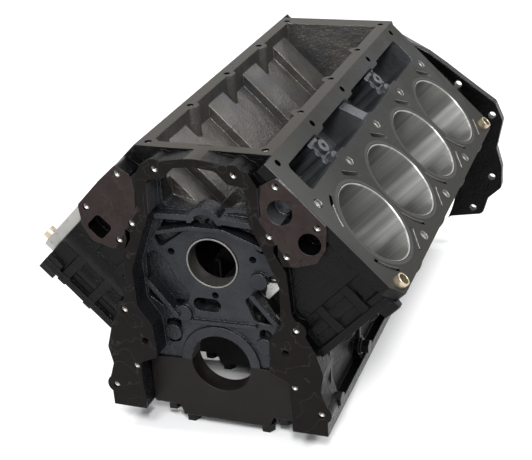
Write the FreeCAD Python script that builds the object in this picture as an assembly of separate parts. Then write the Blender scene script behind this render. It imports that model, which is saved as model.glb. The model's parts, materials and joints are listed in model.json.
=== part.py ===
"""Bare eight-cylinder engine block: one iron casting with its main caps, bearings, bolts and plugs.

Frame: the crank axis lies along Y, with the origin in the middle of the centre main bearing.
The front of the engine faces -Y, +Z is up, and +X is the bank that sits forward.
Each bank is drawn in its own frame: u runs across the deck, away from the valley, y along the
crank from the middle of the bank, and v up the bores from the crank axis.
"""
import FreeCAD
import Part
import math
import os

V = FreeCAD.Vector
os.makedirs("parts", exist_ok=True)

# ---------------------------------------------------------------- driving dimensions (mm)
# bores and banks
BORE_DIA = 96.8
BORE_PITCH = 111.76
BORES_PER_BANK = 4
BANK_STAGGER = 24.1            # how far the +X bank sits ahead of the other
DECK_HEIGHT = 234.7            # crank axis to deck, along the bore
DECK_INNER = 125.75            # bore axis to the valley edge of the deck
DECK_OUTER = 67.0              # bore axis to the outer edge of the deck
DECK_FRONT = 75.6              # first bore to the front edge of the deck
DECK_REAR = 82.1               # last bore to the rear edge
DECK_PLATE = 13.0
DECK_CHAMFER = 18.0
BORE_CHAMFER = 1.2
BORE_FOOT = 100.0              # distance up the bore at which the cylinder wall starts
BORE_RELIEF_DIA = 101.0        # clearance cut into the bulkheads below the wall
BORE_RELIEF_FOOT = 58.0

# crank line
MAIN_PITCH = 111.76
MAIN_DIA = 69.9
MAIN_WIDTH = 24.0
MAIN_STEP_DIA = 73.0           # relief in front of the first main
BAY_RADIUS = 98.0              # swing of the counterweights
SKIRT_INNER = 104.0
SKIRT_OUTER = 118.0
PAN_RAIL_OUTER = 129.0
PAN_RAIL_Z = -60.0
PAN_RAIL_THICK = 13.0

# cam and lifters
CAM_HEIGHT = 124.8
CAM_BORE_DIA = 59.6
CAM_TUNNEL_WALL = 8.5
CAM_BEARING_WALL = 2.0
LIFTER_DIA = 21.4
LIFTER_PITCH = 43.0

# lifter windows in the deck
WINDOW_INNER = 107.5
WINDOW_OUTER = 72.0
WINDOW_LENGTH = 91.0
WINDOW_DEPTH = 52.0
WINDOW_CORNER = 6.0
WEB_DROP = 15.0                # how far the webs between windows lie below the deck
TRAY_BOSS_DIA = 17.0
TRAY_BOSS_DROP = 9.0
TRAY_BOLT_U = -91.0
TRAY_BOLT_DIA = 6.0

# valley
RAIL_WIDTH = 15.0
VALLEY_COLUMN_DIA = 21.0
VALLEY_SLAB_WALL = 7.5
VALLEY_SLAB_WIDTH = 46.0
VALLEY_SLAB_RISE = 11.0
VALLEY_BRIDGE = 15.5           # length of the rail across the front of the valley

# front and rear faces
FRONT_FACE_Y = -257.8          # rail that the front cover seals on
CHEST_DEPTH = 25.0
VALLEY_FRONT_Y = -232.5
REAR_FACE_Y = 262.0            # rail that the rear cover seals on
REAR_CHEST_DEPTH = 22.0
BELL_FACE_Y = 287.2
BELL_FLANGE = 14.0

# fasteners
HEAD_BOLT_DIA = 11.0
SMALL_HEAD_BOLT_DIA = 8.0
COVER_BOLT_DIA = 8.0
PAN_BOLT_DIA = 8.0
BELL_BOLT_DIA = 10.0
CAP_BOLT_DIA = 10.0
SIDE_BOLT_DIA = 8.0
HOLE_PLAY = 0.8                # clearance holes are this much larger than their bolts

# main caps
CAP_HALF_WIDTH = 88.0
CAP_HEIGHT = 76.0
CAP_INNER_BOLT_X = 46.0
CAP_OUTER_BOLT_X = 68.0
CAP_BOLT_DEPTH = 70.0
CAP_SIDE_BOLT_Z = -32.0
FIT_PLAY = 0.05                # between pieces that are a close fit

# derived
ROOT2 = math.sqrt(2.0)
RAIL_Z = (DECK_HEIGHT + DECK_INNER) / ROOT2
RAIL_EDGE_X = (DECK_HEIGHT - DECK_INNER) / ROOT2
BORE_YS = [(i - (BORES_PER_BANK - 1) / 2.0) * BORE_PITCH for i in range(BORES_PER_BANK)]
MAIN_YS = [(i - 2) * MAIN_PITCH for i in range(5)]
BANK_FRONT = BORE_YS[0] - DECK_FRONT
BANK_REAR = BORE_YS[-1] + DECK_REAR
CAM_UV = CAM_HEIGHT / ROOT2    # the cam axis is at u = -CAM_UV, v = CAM_UV in each bank


# ---------------------------------------------------------------- helpers
def box(x0, x1, y0, y1, z0, z1):
    return Part.makeBox(x1 - x0, y1 - y0, z1 - z0, V(x0, y0, z0))


def cyl_y(x, z, dia, y0, y1):
    return Part.makeCylinder(dia / 2.0, y1 - y0, V(x, y0, z), V(0, 1, 0))


def cyl_z(x, y, dia, z0, z1):
    return Part.makeCylinder(dia / 2.0, z1 - z0, V(x, y, z0), V(0, 0, 1))


def cyl_x(y, z, dia, x0, x1):
    return Part.makeCylinder(dia / 2.0, x1 - x0, V(x0, y, z), V(1, 0, 0))


def rounded(points, radii):
    """Closed wire through 2-D points, each corner rounded by its own radius."""
    count = len(points)
    edges = []
    starts = []
    ends = []
    mids = []
    for i in range(count):
        p = V(points[i][0], points[i][1], 0)
        a = V(points[i - 1][0], points[i - 1][1], 0)
        b = V(points[(i + 1) % count][0], points[(i + 1) % count][1], 0)
        r = radii[i] if isinstance(radii, (list, tuple)) else radii
        da = (a - p).normalize()
        db = (b - p).normalize()
        half = da.getAngle(db) / 2.0
        if r <= 0 or abs(half - math.pi / 2) < 1e-3:
            starts.append(p)
            ends.append(p)
            mids.append(None)
            continue
        back = r / math.tan(half)
        centre = p + (da + db).normalize() * (r / math.sin(half))
        starts.append(p + da * back)
        ends.append(p + db * back)
        mids.append(centre + (p - centre).normalize() * r)
    for i in range(count):
        if mids[i] is not None:
            edges.append(Part.Arc(starts[i], mids[i], ends[i]).toShape())
        nxt = starts[(i + 1) % count]
        if (nxt - ends[i]).Length > 1e-6:
            edges.append(Part.makeLine(ends[i], nxt))
    return Part.Wire(edges)


def prism_y(points, y0, y1, radii=0.0):
    """Extrude an outline drawn in X and Z along Y."""
    wire = rounded(points, radii)
    face = Part.Face(wire)
    solid = face.extrude(V(0, 0, y1 - y0))
    solid.rotate(V(0, 0, 0), V(1, 0, 0), 90)
    solid.translate(V(0, y1, 0))
    return solid


def prism_z(points, z0, z1, radii=0.0):
    """Extrude an outline drawn in X and Y along Z."""
    solid = Part.Face(rounded(points, radii)).extrude(V(0, 0, z1 - z0))
    solid.translate(V(0, 0, z0))
    return solid


def mirrored(points):
    """Right half of an outline, from top to bottom, closed by its own mirror image."""
    left = [(-x, z) for x, z in reversed(points)]
    return points + left


def fuse(shapes):
    first = shapes[0]
    return first.multiFuse(shapes[1:]) if len(shapes) > 1 else first


def cut(shape, tools):
    return shape.cut(fuse(tools)) if tools else shape


def both_sides(shape):
    return [shape, shape.mirror(V(0, 0, 0), V(1, 0, 0))]


def on_bank(shape, side):
    """Carry a shape from the bank's own frame (u, y, v) to the block."""
    s = shape.copy()
    s.rotate(V(0, 0, 0), V(0, 1, 0), 45)
    if side < 0:
        s = s.mirror(V(0, 0, 0), V(1, 0, 0))
    s.translate(V(0, -side * BANK_STAGGER / 2.0, 0))
    return s


def on_banks(shape):
    return [on_bank(shape, 1), on_bank(shape, -1)]


# ---------------------------------------------------------------- casting, outside
BARREL_RADIUS = 69.0
BARREL_FOOT = 92.0             # distance up the bore at which the water jacket starts
SLAB_U = -(WINDOW_INNER + VALLEY_SLAB_WALL + VALLEY_SLAB_RISE)
RECESS_U = -(WINDOW_INNER + VALLEY_SLAB_WALL)
SKIRT_TOP = 60.0
END_WALL_SETBACK = 7.0


def crankcase():
    sides = mirrored([(60.0, 150.0), (SKIRT_OUTER, SKIRT_TOP), (SKIRT_OUTER, PAN_RAIL_Z)])
    rail = mirrored([(PAN_RAIL_OUTER, PAN_RAIL_Z + PAN_RAIL_THICK), (PAN_RAIL_OUTER, PAN_RAIL_Z)])
    return [prism_y(sides, FRONT_FACE_Y + CHEST_DEPTH, REAR_FACE_Y),
            prism_y(rail, FRONT_FACE_Y, REAR_FACE_Y)]


def bank_body():
    """Deck plate, water-jacket barrels and lifter gallery of one bank, in its own frame."""
    c = DECK_CHAMFER
    deck = [(-DECK_INNER, BANK_FRONT), (DECK_OUTER - c, BANK_FRONT), (DECK_OUTER, BANK_FRONT + 0.7 * c),
            (DECK_OUTER, BANK_REAR - 0.7 * c), (DECK_OUTER - c, BANK_REAR), (-DECK_INNER, BANK_REAR)]
    shapes = [prism_z(deck, DECK_HEIGHT - DECK_PLATE, DECK_HEIGHT, [0, 4, 4, 4, 4, 0])]
    front = BANK_FRONT + END_WALL_SETBACK
    rear = BANK_REAR - END_WALL_SETBACK
    shapes.append(box(SLAB_U, 20.0, front, rear, 40.0, DECK_HEIGHT - 1.0))
    shapes.append(box(-20.0, BARREL_RADIUS - 12.0, front + 6.0, rear - 6.0, BARREL_FOOT, DECK_HEIGHT - 1.0))
    for y in BORE_YS:
        barrel = Part.makeCylinder(BARREL_RADIUS, DECK_HEIGHT - 1.0 - BARREL_FOOT, V(0, y, BARREL_FOOT))
        keep = box(-30.0, BARREL_RADIUS + 1.0, front - 3.0, rear + 3.0, 0.0, DECK_HEIGHT)
        shapes.append(barrel.common(keep))
    return shapes


END_WALL_Y = FRONT_FACE_Y + 9.0
END_RIB_VS = (191.0, 152.0)
END_RIB = 11.0
END_RIB_RISE = 4.0
END_BULGE_U = 10.0
END_BULGE_RADIUS = 26.0


def end_wall(side):
    """Front end of a bank below its deck: a bulged wall crossed by two ribs, with a thick outer edge."""
    shift = side * BANK_STAGGER / 2.0
    front = END_WALL_Y + shift
    back = BANK_FRONT + 30.0
    top = DECK_HEIGHT - DECK_PLATE - 1.0
    foot = 112.0
    shapes = [box(-60.0, 58.0, front + END_RIB_RISE, back, foot, top),
              box(54.0, 63.0, front, back, foot, top)]
    bulge = Part.makeCylinder(END_BULGE_RADIUS, top - foot, V(END_BULGE_U, front + END_BULGE_RADIUS, foot))
    shapes.append(bulge)
    second = Part.makeCylinder(14.0, top - 24.0 - foot, V(36.0, front + 15.5, foot))
    shapes.append(second)
    for v in END_RIB_VS:
        shapes.append(box(-40.0, 66.0, front + 1.0, back, v - END_RIB / 2.0, v + END_RIB / 2.0))
    shapes.append(prism_v([(46.0, front), (74.0, front + 3.0), (74.0, back - 11.0), (46.0, back)], 200.0, top))
    return [on_bank(s, side) for s in shapes]


def prism_v(points, v0, v1):
    return prism_z(points, v0, v1, [2.0, 3.0, 3.0, 0.0])


def valley_body():
    middle = mirrored([(RAIL_EDGE_X, RAIL_Z), (110.0, 150.0), (70.0, 60.0)])
    return [prism_y(middle, VALLEY_FRONT_Y, REAR_FACE_Y - 18.0)]


COVER_BOLTS = [(43.2, 240.6), (76.8, 176.0), (99.3, 68.7), (93.6, -3.1), (122.5, -32.3)]
COVER_EXTRA_BOLTS = [(-79.0, 31.5), (86.0, 39.5)]
COVER_BOSS_DIA = 23.0
CHEST_OUTER = [(0.0, 256.0), (30.0, 251.5), (58.0, 246.0), (68.0, 230.0), (68.0, 196.0), (81.0, 184.0),
               (81.0, 158.0), (93.0, 137.0), (96.0, 88.0), (107.0, 67.0), (119.0, 45.0), (127.0, 18.0),
               (123.0, -4.0), (129.0, -22.0), (129.0, PAN_RAIL_Z)]
CHEST_INNER = [(0.0, 246.0), (24.0, 243.0), (36.0, 230.0), (54.0, 228.0), (56.0, 188.0), (66.0, 166.0),
               (75.0, 143.0), (84.0, 118.0), (83.0, 74.0), (68.0, 52.0), (66.0, 12.0), (88.0, 2.0),
               (88.0, PAN_RAIL_Z - 5.0)]


def smooth_outline(half, radius):
    """Mirror a half outline whose first point is on the centre line."""
    left = [(-x, z) for x, z in reversed(half[1:])]
    points = half + left
    radii = [radius] * len(points)
    radii[0] = 60.0
    last = len(half) - 1
    radii[last] = 0.0
    radii[last + 1] = 0.0
    return points, radii


def timing_chest():
    points, radii = smooth_outline(CHEST_OUTER, 7.0)
    shapes = [prism_y(points, FRONT_FACE_Y, VALLEY_FRONT_Y + 12.0, radii)]
    for x, z in COVER_BOLTS:
        for side in (1, -1):
            shapes.append(cyl_y(side * x, z, COVER_BOSS_DIA, FRONT_FACE_Y, VALLEY_FRONT_Y + 2.0))
    return shapes


PUMP_PAD = [(72.0, 232.0), (88.0, 242.0), (110.0, 222.0), (139.0, 192.0), (137.0, 168.0), (127.0, 151.0),
            (105.0, 144.0), (90.0, 143.0), (85.0, 155.0), (86.0, 168.0), (71.0, 190.0), (69.0, 213.0)]
PUMP_BOLTS = [(87.0, 231.8), (128.8, 190.7), (94.2, 154.7)]
PUMP_PORT_UPPER = (90.0, 204.0, 27.0)
PUMP_PORT_LOWER = (120.0, 172.0, 24.0)
PUMP_PORT_SQUARE = (-116.0, 168.0, 22.0)


def pump_pads():
    pad = prism_y(PUMP_PAD, FRONT_FACE_Y, FRONT_FACE_Y + 50.0, 5.0)
    return both_sides(pad)


BELL_OUTLINE = [(0.0, 236.0), (71.0, 229.0), (119.0, 203.0), (142.0, 187.0), (174.0, 163.0), (211.0, 136.0),
                (222.0, 110.0), (214.0, 70.0), (222.0, 41.0), (222.0, 11.0), (203.0, -7.0), (196.0, -32.0),
                (150.0, -40.0), (128.0, PAN_RAIL_Z)]
BELL_BOLTS = [(64.0, 218.0), (160.0, 160.0), (207.0, 118.0), (208.0, 26.0), (182.0, -24.0)]
BELL_DOWEL = (176.0, 0.0)
BELL_DOWEL_DIA = 16.0
BELL_DOWEL_DEPTH = 12.0
BELL_DOWEL_PROUD = 12.0
FLYWHEEL_CLEARANCE = 318.0


def bell_flange():
    points, radii = smooth_outline(BELL_OUTLINE, 9.0)
    plate = prism_y(points, BELL_FACE_Y - BELL_FLANGE, BELL_FACE_Y, radii)
    plate = plate.cut(cyl_y(0.0, 20.0, FLYWHEEL_CLEARANCE, BELL_FACE_Y - BELL_FLANGE - 1.0, BELL_FACE_Y + 1.0))
    hub, hub_radii = smooth_outline([(0.0, 238.0), (75.0, 232.0), (120.0, 190.0), (165.0, 150.0), (176.0, 110.0),
                                     (165.0, 50.0), (168.0, 10.0), (140.0, -20.0), (128.0, PAN_RAIL_Z)], 12.0)
    body = prism_y(hub, REAR_FACE_Y - 24.0, BELL_FACE_Y - BELL_FLANGE + 1.0, hub_radii)
    inner = cyl_y(0.0, 20.0, FLYWHEEL_CLEARANCE, REAR_FACE_Y, BELL_FACE_Y)
    return [plate, body.cut(inner)]


SIDE_BOSS_DIA = 24.0
SIDE_BOSS_RISE = 7.0
SPOT_FACE_DIA = 22.5
MOUNT_BOSS_DIA = 26.0
MOUNT_FACE_X = 146.0
MOUNT_BOLTS = [(-58.0, 62.0), (-58.0, 12.0), (34.0, 62.0), (34.0, 12.0)]
MOUNT_BOLT_DIA = 10.0


def side_bosses():
    shapes = []
    for y in MAIN_YS:
        z = CAP_SIDE_BOLT_Z
        shapes += both_sides(cyl_x(y, z, SIDE_BOSS_DIA, SKIRT_INNER + 2.0, SKIRT_OUTER + SIDE_BOSS_RISE))
        rib = prism_z([(SKIRT_OUTER - 2.0, y - 5.0), (SKIRT_OUTER + 7.0, y - 3.5), (SKIRT_OUTER + 7.0, y + 3.5),
                       (SKIRT_OUTER - 2.0, y + 5.0)], PAN_RAIL_Z + 2.0, SKIRT_TOP)
        shapes += both_sides(rib)
    for y, z in MOUNT_BOLTS:
        shapes += both_sides(cyl_x(y, z, MOUNT_BOSS_DIA, SKIRT_OUTER - 30.0, MOUNT_FACE_X))
    return shapes


# ---------------------------------------------------------------- casting, inside
def crank_bays():
    shapes = []
    for i in range(4):
        y0 = MAIN_YS[i] + MAIN_WIDTH / 2.0
        y1 = MAIN_YS[i + 1] - MAIN_WIDTH / 2.0
        shapes.append(cyl_y(0, 0, 2.0 * BAY_RADIUS, y0, y1))
        shapes.append(box(-SKIRT_INNER, SKIRT_INNER, y0, y1, PAN_RAIL_Z - 1.0, 12.0))
        shapes.append(box(-26.0, 26.0, y0, y1, BAY_RADIUS - 20.0, CAM_HEIGHT))
    shapes.append(box(-CAP_HALF_WIDTH, CAP_HALF_WIDTH, FRONT_FACE_Y - 1.0, BELL_FACE_Y + 1.0,
                      PAN_RAIL_Z - 5.0, 0.0))
    return shapes


def crank_and_cam_bores():
    return [cyl_y(0, 0, MAIN_DIA, FRONT_FACE_Y - 5.0, BELL_FACE_Y + 5.0),
            cyl_y(0, CAM_HEIGHT, CAM_BORE_DIA, FRONT_FACE_Y - 5.0, REAR_FACE_Y + 5.0)]


def cylinders():
    tools = []
    for y in BORE_YS:
        bore = Part.makeCylinder(BORE_DIA / 2.0, DECK_HEIGHT - BORE_FOOT + 2.0, V(0, y, BORE_FOOT - 1.0))
        relief = Part.makeCylinder(BORE_RELIEF_DIA / 2.0, BORE_FOOT - BORE_RELIEF_FOOT, V(0, y, BORE_RELIEF_FOOT))
        mouth = Part.makeCone(BORE_DIA / 2.0, BORE_DIA / 2.0 + BORE_CHAMFER, BORE_CHAMFER,
                              V(0, y, DECK_HEIGHT - BORE_CHAMFER))
        tools += on_banks(bore) + on_banks(relief) + on_banks(mouth)
    return tools


def window_pocket(y, barrels):
    """Pocket of one lifter window; its rear wall may carry three half-round barrels."""
    half = WINDOW_LENGTH / 2.0
    outline = [(-WINDOW_INNER, y - half), (-WINDOW_OUTER, y - half), (-WINDOW_OUTER, y + half),
               (-WINDOW_INNER, y + half)]
    floor = DECK_HEIGHT - WINDOW_DEPTH
    pocket = prism_z(outline, floor, DECK_HEIGHT + 1.0, WINDOW_CORNER)
    if barrels:
        step = (WINDOW_INNER - WINDOW_OUTER) / 3.0
        ribs = [cyl_z(-WINDOW_OUTER - step * (i + 0.5), y + half, step * 0.86, floor - 1.0, DECK_HEIGHT - 10.0)
                for i in range(3)]
        pocket = pocket.cut(fuse(ribs))
    return pocket


def lifter_windows():
    tools = []
    low_web = box(-WINDOW_INNER + 3.5, -WINDOW_OUTER - 3.0, BORE_YS[0], BORE_YS[-1], DECK_HEIGHT - WEB_DROP,
                  DECK_HEIGHT + 1.0)
    keep = []
    for i, y in enumerate(head_bolt_ys()[1:-1]):
        if i == 1:
            slope = prism_y([(-WINDOW_OUTER, DECK_HEIGHT - 2.0), (-WINDOW_OUTER, DECK_HEIGHT - WEB_DROP - 1.0),
                             (-WINDOW_INNER, DECK_HEIGHT - WEB_DROP - 1.0)], y - 14.0, y + 14.0)
            keep.append(slope)
        else:
            keep.append(cyl_z(TRAY_BOLT_U, y, TRAY_BOSS_DIA, DECK_HEIGHT - WEB_DROP - 1.0,
                              DECK_HEIGHT - TRAY_BOSS_DROP))
        keep.append(cyl_z(-WINDOW_OUTER, y, 17.0, DECK_HEIGHT - WEB_DROP - 1.0, DECK_HEIGHT - 0.5 * WEB_DROP))
    tools += on_banks(low_web.cut(fuse(keep)))
    for y in (head_bolt_ys()[1], head_bolt_ys()[3]):
        tools += drill_bank(TRAY_BOLT_U, y, TRAY_BOLT_DIA, 30.0)
    for i, y in enumerate(BORE_YS):
        tools += on_banks(window_pocket(y, i % 2 == 0))
        for lifter in (-0.5, 0.5):
            hole = Part.makeCylinder(LIFTER_DIA / 2.0, DECK_HEIGHT - WINDOW_DEPTH - CAM_UV + 1.0,
                                     V(-CAM_UV, y + lifter * LIFTER_PITCH, CAM_UV))
            tools += on_banks(hole)
    return tools


def valley_cavity():
    """Space between the banks: bolt columns stand in it and flat slabs cover each lifter pair."""
    top = RAIL_Z + 1.0
    inner = RAIL_EDGE_X - RAIL_WIDTH
    y0 = VALLEY_FRONT_Y + VALLEY_BRIDGE
    y1 = REAR_FACE_Y - 45.0
    tools = []
    for side in (1, -1):
        def wall(plane_u):
            lift = -plane_u * ROOT2
            points = [(side * inner, top), (side * inner, inner + lift), (0.0, lift), (0.0, top)]
            return points
        deep = prism_y(wall(RECESS_U), y0, y1)
        for y in BORE_YS:
            centre = y - side * BANK_STAGGER / 2.0
            slab_points = [(side * (inner + 5.0), inner + 5.0 - SLAB_U * ROOT2), (0.0, -SLAB_U * ROOT2),
                           (0.0, 60.0), (side * (inner + 5.0), 60.0)]
            slab = prism_y(slab_points, centre - VALLEY_SLAB_WIDTH / 2.0, centre + VALLEY_SLAB_WIDTH / 2.0)
            deep = deep.cut(slab)
        tools.append(deep)
    tunnel = cyl_y(0, CAM_HEIGHT, CAM_BORE_DIA + 2.0 * CAM_TUNNEL_WALL, y0 - 5.0, y1 + 5.0)
    cavity = fuse(tools).cut(tunnel)
    columns = []
    for x, y in valley_bolts():
        columns.append(cyl_z(x, y, VALLEY_COLUMN_DIA, 150.0, RAIL_Z))
    return [cavity.cut(fuse(columns))]


VALLEY_BOLT_X = 65.5
VALLEY_BOLT_SHIFT = 3.0


def valley_bolts():
    return [(side * VALLEY_BOLT_X, y + VALLEY_BOLT_SHIFT) for y in MAIN_YS for side in (1, -1)]


def chest_cavity():
    points, radii = smooth_outline(CHEST_INNER, 6.0)
    cavity = prism_y(points, FRONT_FACE_Y - 1.0, FRONT_FACE_Y + CHEST_DEPTH, radii)
    keep = [cyl_y(s * x, z, COVER_BOSS_DIA, FRONT_FACE_Y, FRONT_FACE_Y + CHEST_DEPTH)
            for x, z in COVER_BOLTS[:1] for s in (1, -1)]
    mouth = mirrored([(40.0, 238.0), (50.0, 222.0), (50.0, 190.0), (12.0, 184.0)])
    opening = prism_y(mouth, FRONT_FACE_Y + CHEST_DEPTH - 1.0, VALLEY_FRONT_Y + VALLEY_BRIDGE + 8.0, 5.0)
    return [cavity.cut(fuse(keep)), opening]


OIL_HOLE = (-11.0, 72.0, 32.0, 16.0)
LEDGE_Z = 181.0
RIB_THICK = 5.0
PILOT_RADIUS = 44.0


def rib_y(x0, z0, x1, z1, thick, rise):
    """Straight rib with round ends, standing forward from the floor of the timing chest."""
    floor = FRONT_FACE_Y + CHEST_DEPTH
    length = math.hypot(x1 - x0, z1 - z0)
    angle = math.degrees(math.atan2(z1 - z0, x1 - x0))
    r = thick / 2.0
    bar = box(0.0, length, floor - rise, floor + 9.0, -r, r)
    ends = [cyl_y(0.0, 0.0, thick, floor - rise, floor + 9.0), cyl_y(length, 0.0, thick, floor - rise, floor + 9.0)]
    bar = bar.multiFuse(ends).removeSplitter()
    bar.rotate(V(0, 0, 0), V(0, 1, 0), -angle)
    bar.translate(V(x0, 0, z0))
    return bar


def chest_pockets():
    """The cast floor lies a little deeper than the machined pads round the cam and the crank."""
    floor = FRONT_FACE_Y + CHEST_DEPTH
    deep = floor + 8.0
    outlines = [[(-50.0, 176.0), (-58.0, 158.0), (-66.0, 150.0), (-60.0, 138.0), (-30.0, 160.0), (-8.0, 166.0),
                 (-12.0, 176.0)],
                [(12.0, 176.0), (10.0, 167.0), (34.0, 160.0), (60.0, 140.0), (66.0, 150.0), (56.0, 162.0), (48.0, 176.0)],
                [(-78.0, 126.0), (-68.0, 134.0), (-55.0, 124.0), (-44.0, 100.0), (-30.0, 86.0), (-34.0, 72.0),
                 (-60.0, 62.0), (-80.0, 76.0)],
                [(54.0, 100.0), (66.0, 118.0), (79.0, 112.0), (80.0, 76.0), (66.0, 56.0), (44.0, 58.0), (34.0, 84.0)],
                [(-62.0, 48.0), (-44.0, 52.0), (-47.0, 22.0), (-62.0, 18.0)],
                [(48.0, 50.0), (62.0, 48.0), (62.0, 20.0), (50.0, 18.0)]]
    return [prism_y(points, floor - 1.0, deep, 4.0) for points in outlines]


def chest_ribs():
    floor = FRONT_FACE_Y + CHEST_DEPTH
    shapes = [rib_y(-54.0, LEDGE_Z, -14.0, LEDGE_Z + 1.0, 7.0, 12.0),
              rib_y(16.0, LEDGE_Z, 50.0, LEDGE_Z - 2.0, 7.0, 12.0),
              rib_y(-56.0, 160.0, -20.0, 168.0, RIB_THICK, 9.0),
              rib_y(-20.0, 168.0, 18.0, 168.0, RIB_THICK, 9.0),
              rib_y(18.0, 168.0, 60.0, 152.0, RIB_THICK, 9.0),
              rib_y(46.0, 92.0, 72.0, 60.0, 6.0, 8.0),
              rib_y(-46.0, 58.0, -76.0, 96.0, 6.0, 7.0),
              rib_y(-40.0, 50.0, 44.0, 52.0, 5.0, 3.0)]
    bump = cyl_y(0.0, 176.0, 40.0, floor - 12.0, floor + 9.0)
    hollow = cyl_y(0.0, 172.0, 30.0, floor - 13.0, floor)
    shapes.append(bump.cut(hollow).common(box(-30.0, 30.0, floor - 14.0, floor + 10.0, 176.0, 200.0)))
    for x, z in ((-39.0, 60.0), (53.0, 110.0), (-54.0, 34.0), (54.0, 30.0)):
        shapes.append(cyl_y(x, z, 20.0, floor - 4.0, floor + 9.0))
    ring = cyl_y(0.0, 0.0, 2.0 * 47.0, floor - 3.0, floor + 1.0)
    shapes.append(ring.common(box(-50.0, 50.0, floor - 4.0, floor + 2.0, 0.0, 60.0)))
    return shapes


def oil_hole():
    """Oval window through the front bulkhead, below the cam."""
    x, z, wide, high = OIL_HOLE
    r = high / 2.0
    y0 = FRONT_FACE_Y + CHEST_DEPTH - 5.0
    y1 = MAIN_YS[0] + MAIN_WIDTH
    half = wide / 2.0 - r
    return fuse([box(x - half, x + half, y0, y1, z - r, z + r), cyl_y(x - half, z, high, y0, y1),
                 cyl_y(x + half, z, high, y0, y1)])


REAR_CHEST = [(0.0, 206.0), (48.0, 200.0), (70.0, 170.0), (84.0, 118.0), (84.0, 74.0), (70.0, 50.0),
              (70.0, 12.0), (88.0, 2.0), (88.0, PAN_RAIL_Z - 5.0)]
REAR_BOLTS = [(40.0, 214.0), (78.0, 186.0), (95.0, 130.0), (96.0, 62.0), (100.0, -20.0)]


def rear_chest():
    points, radii = smooth_outline(REAR_CHEST, 8.0)
    return [prism_y(points, REAR_FACE_Y - REAR_CHEST_DEPTH, REAR_FACE_Y + 1.0, radii)]


# ---------------------------------------------------------------- drilled holes
HEAD_BOLT_UPPER_U = -59.5
HEAD_BOLT_LOWER_U = 55.0
HEAD_BOLT_DEPTH = 48.0
RAIL_BOLT_U = -112.5
HEAD_DOWEL_DIA = 15.0
HEAD_DOWEL_DEPTH = 9.0
HEAD_DOWEL_PROUD = 8.0
SLOT_DEPTH = 18.0
SLOT_RADIUS = 60.5


def head_bolt_ys():
    return [(i - BORES_PER_BANK / 2.0) * BORE_PITCH for i in range(BORES_PER_BANK + 1)]


def drill_bank(u, y, dia, depth):
    return on_banks(Part.makeCylinder(dia / 2.0, depth + 1.0, V(u, y, DECK_HEIGHT - depth)))


def slot(u0, y0, u1, y1, width, depth):
    """Straight coolant slot with round ends, cut down from the deck."""
    length = math.hypot(u1 - u0, y1 - y0)
    angle = math.degrees(math.atan2(y1 - y0, u1 - u0))
    r = width / 2.0
    solid = box(0.0, length, -r, r, 0.0, depth + 1.0)
    solid = solid.multiFuse([cyl_z(0.0, 0.0, width, 0.0, depth + 1.0), cyl_z(length, 0.0, width, 0.0, depth + 1.0)])
    solid = solid.removeSplitter()
    solid.rotate(V(0, 0, 0), V(0, 0, 1), angle)
    solid.translate(V(u0, y0, DECK_HEIGHT - depth))
    return solid


def arc_slot(y, radius, start, end, width, depth):
    """Coolant slot that follows a bore, from one angle to another (degrees from the u axis)."""
    wide = Part.makeCylinder(radius + width / 2.0, depth + 1.0, V(0, y, DECK_HEIGHT - depth), V(0, 0, 1),
                             end - start)
    slim = Part.makeCylinder(radius - width / 2.0, depth + 3.0, V(0, y, DECK_HEIGHT - depth - 1.0))
    ring = wide.cut(slim)
    ring.rotate(V(0, y, 0), V(0, 0, 1), start)
    return ring


def deck_holes():
    tools = []
    bolt = HEAD_BOLT_DIA
    for y in head_bolt_ys():
        tools += drill_bank(HEAD_BOLT_UPPER_U, y, bolt, HEAD_BOLT_DEPTH)
        tools += drill_bank(HEAD_BOLT_LOWER_U, y, bolt, HEAD_BOLT_DEPTH)
        tools += drill_bank(RAIL_BOLT_U - 4.0, y, SMALL_HEAD_BOLT_DIA, 22.0)
    for y in head_bolt_ys()[1:]:
        tools += on_banks(slot(-43.0, y - 8.0, -57.0, y - 29.0, 6.0, SLOT_DEPTH))
        tools += on_banks(slot(39.0, y - 10.0, 56.0, y - 30.0, 5.0, SLOT_DEPTH))
    for y in BORE_YS:
        tools += on_banks(arc_slot(y, SLOT_RADIUS, -70.0, -36.0, 4.0, SLOT_DEPTH))
    tools += on_banks(arc_slot(BORE_YS[0], SLOT_RADIUS, 207.0, 245.0, 4.0, SLOT_DEPTH))
    for y in (head_bolt_ys()[0], head_bolt_ys()[-1]):
        tools += drill_bank(HEAD_BOLT_LOWER_U, y, HEAD_DOWEL_DIA, HEAD_DOWEL_DEPTH)
    return tools


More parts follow.
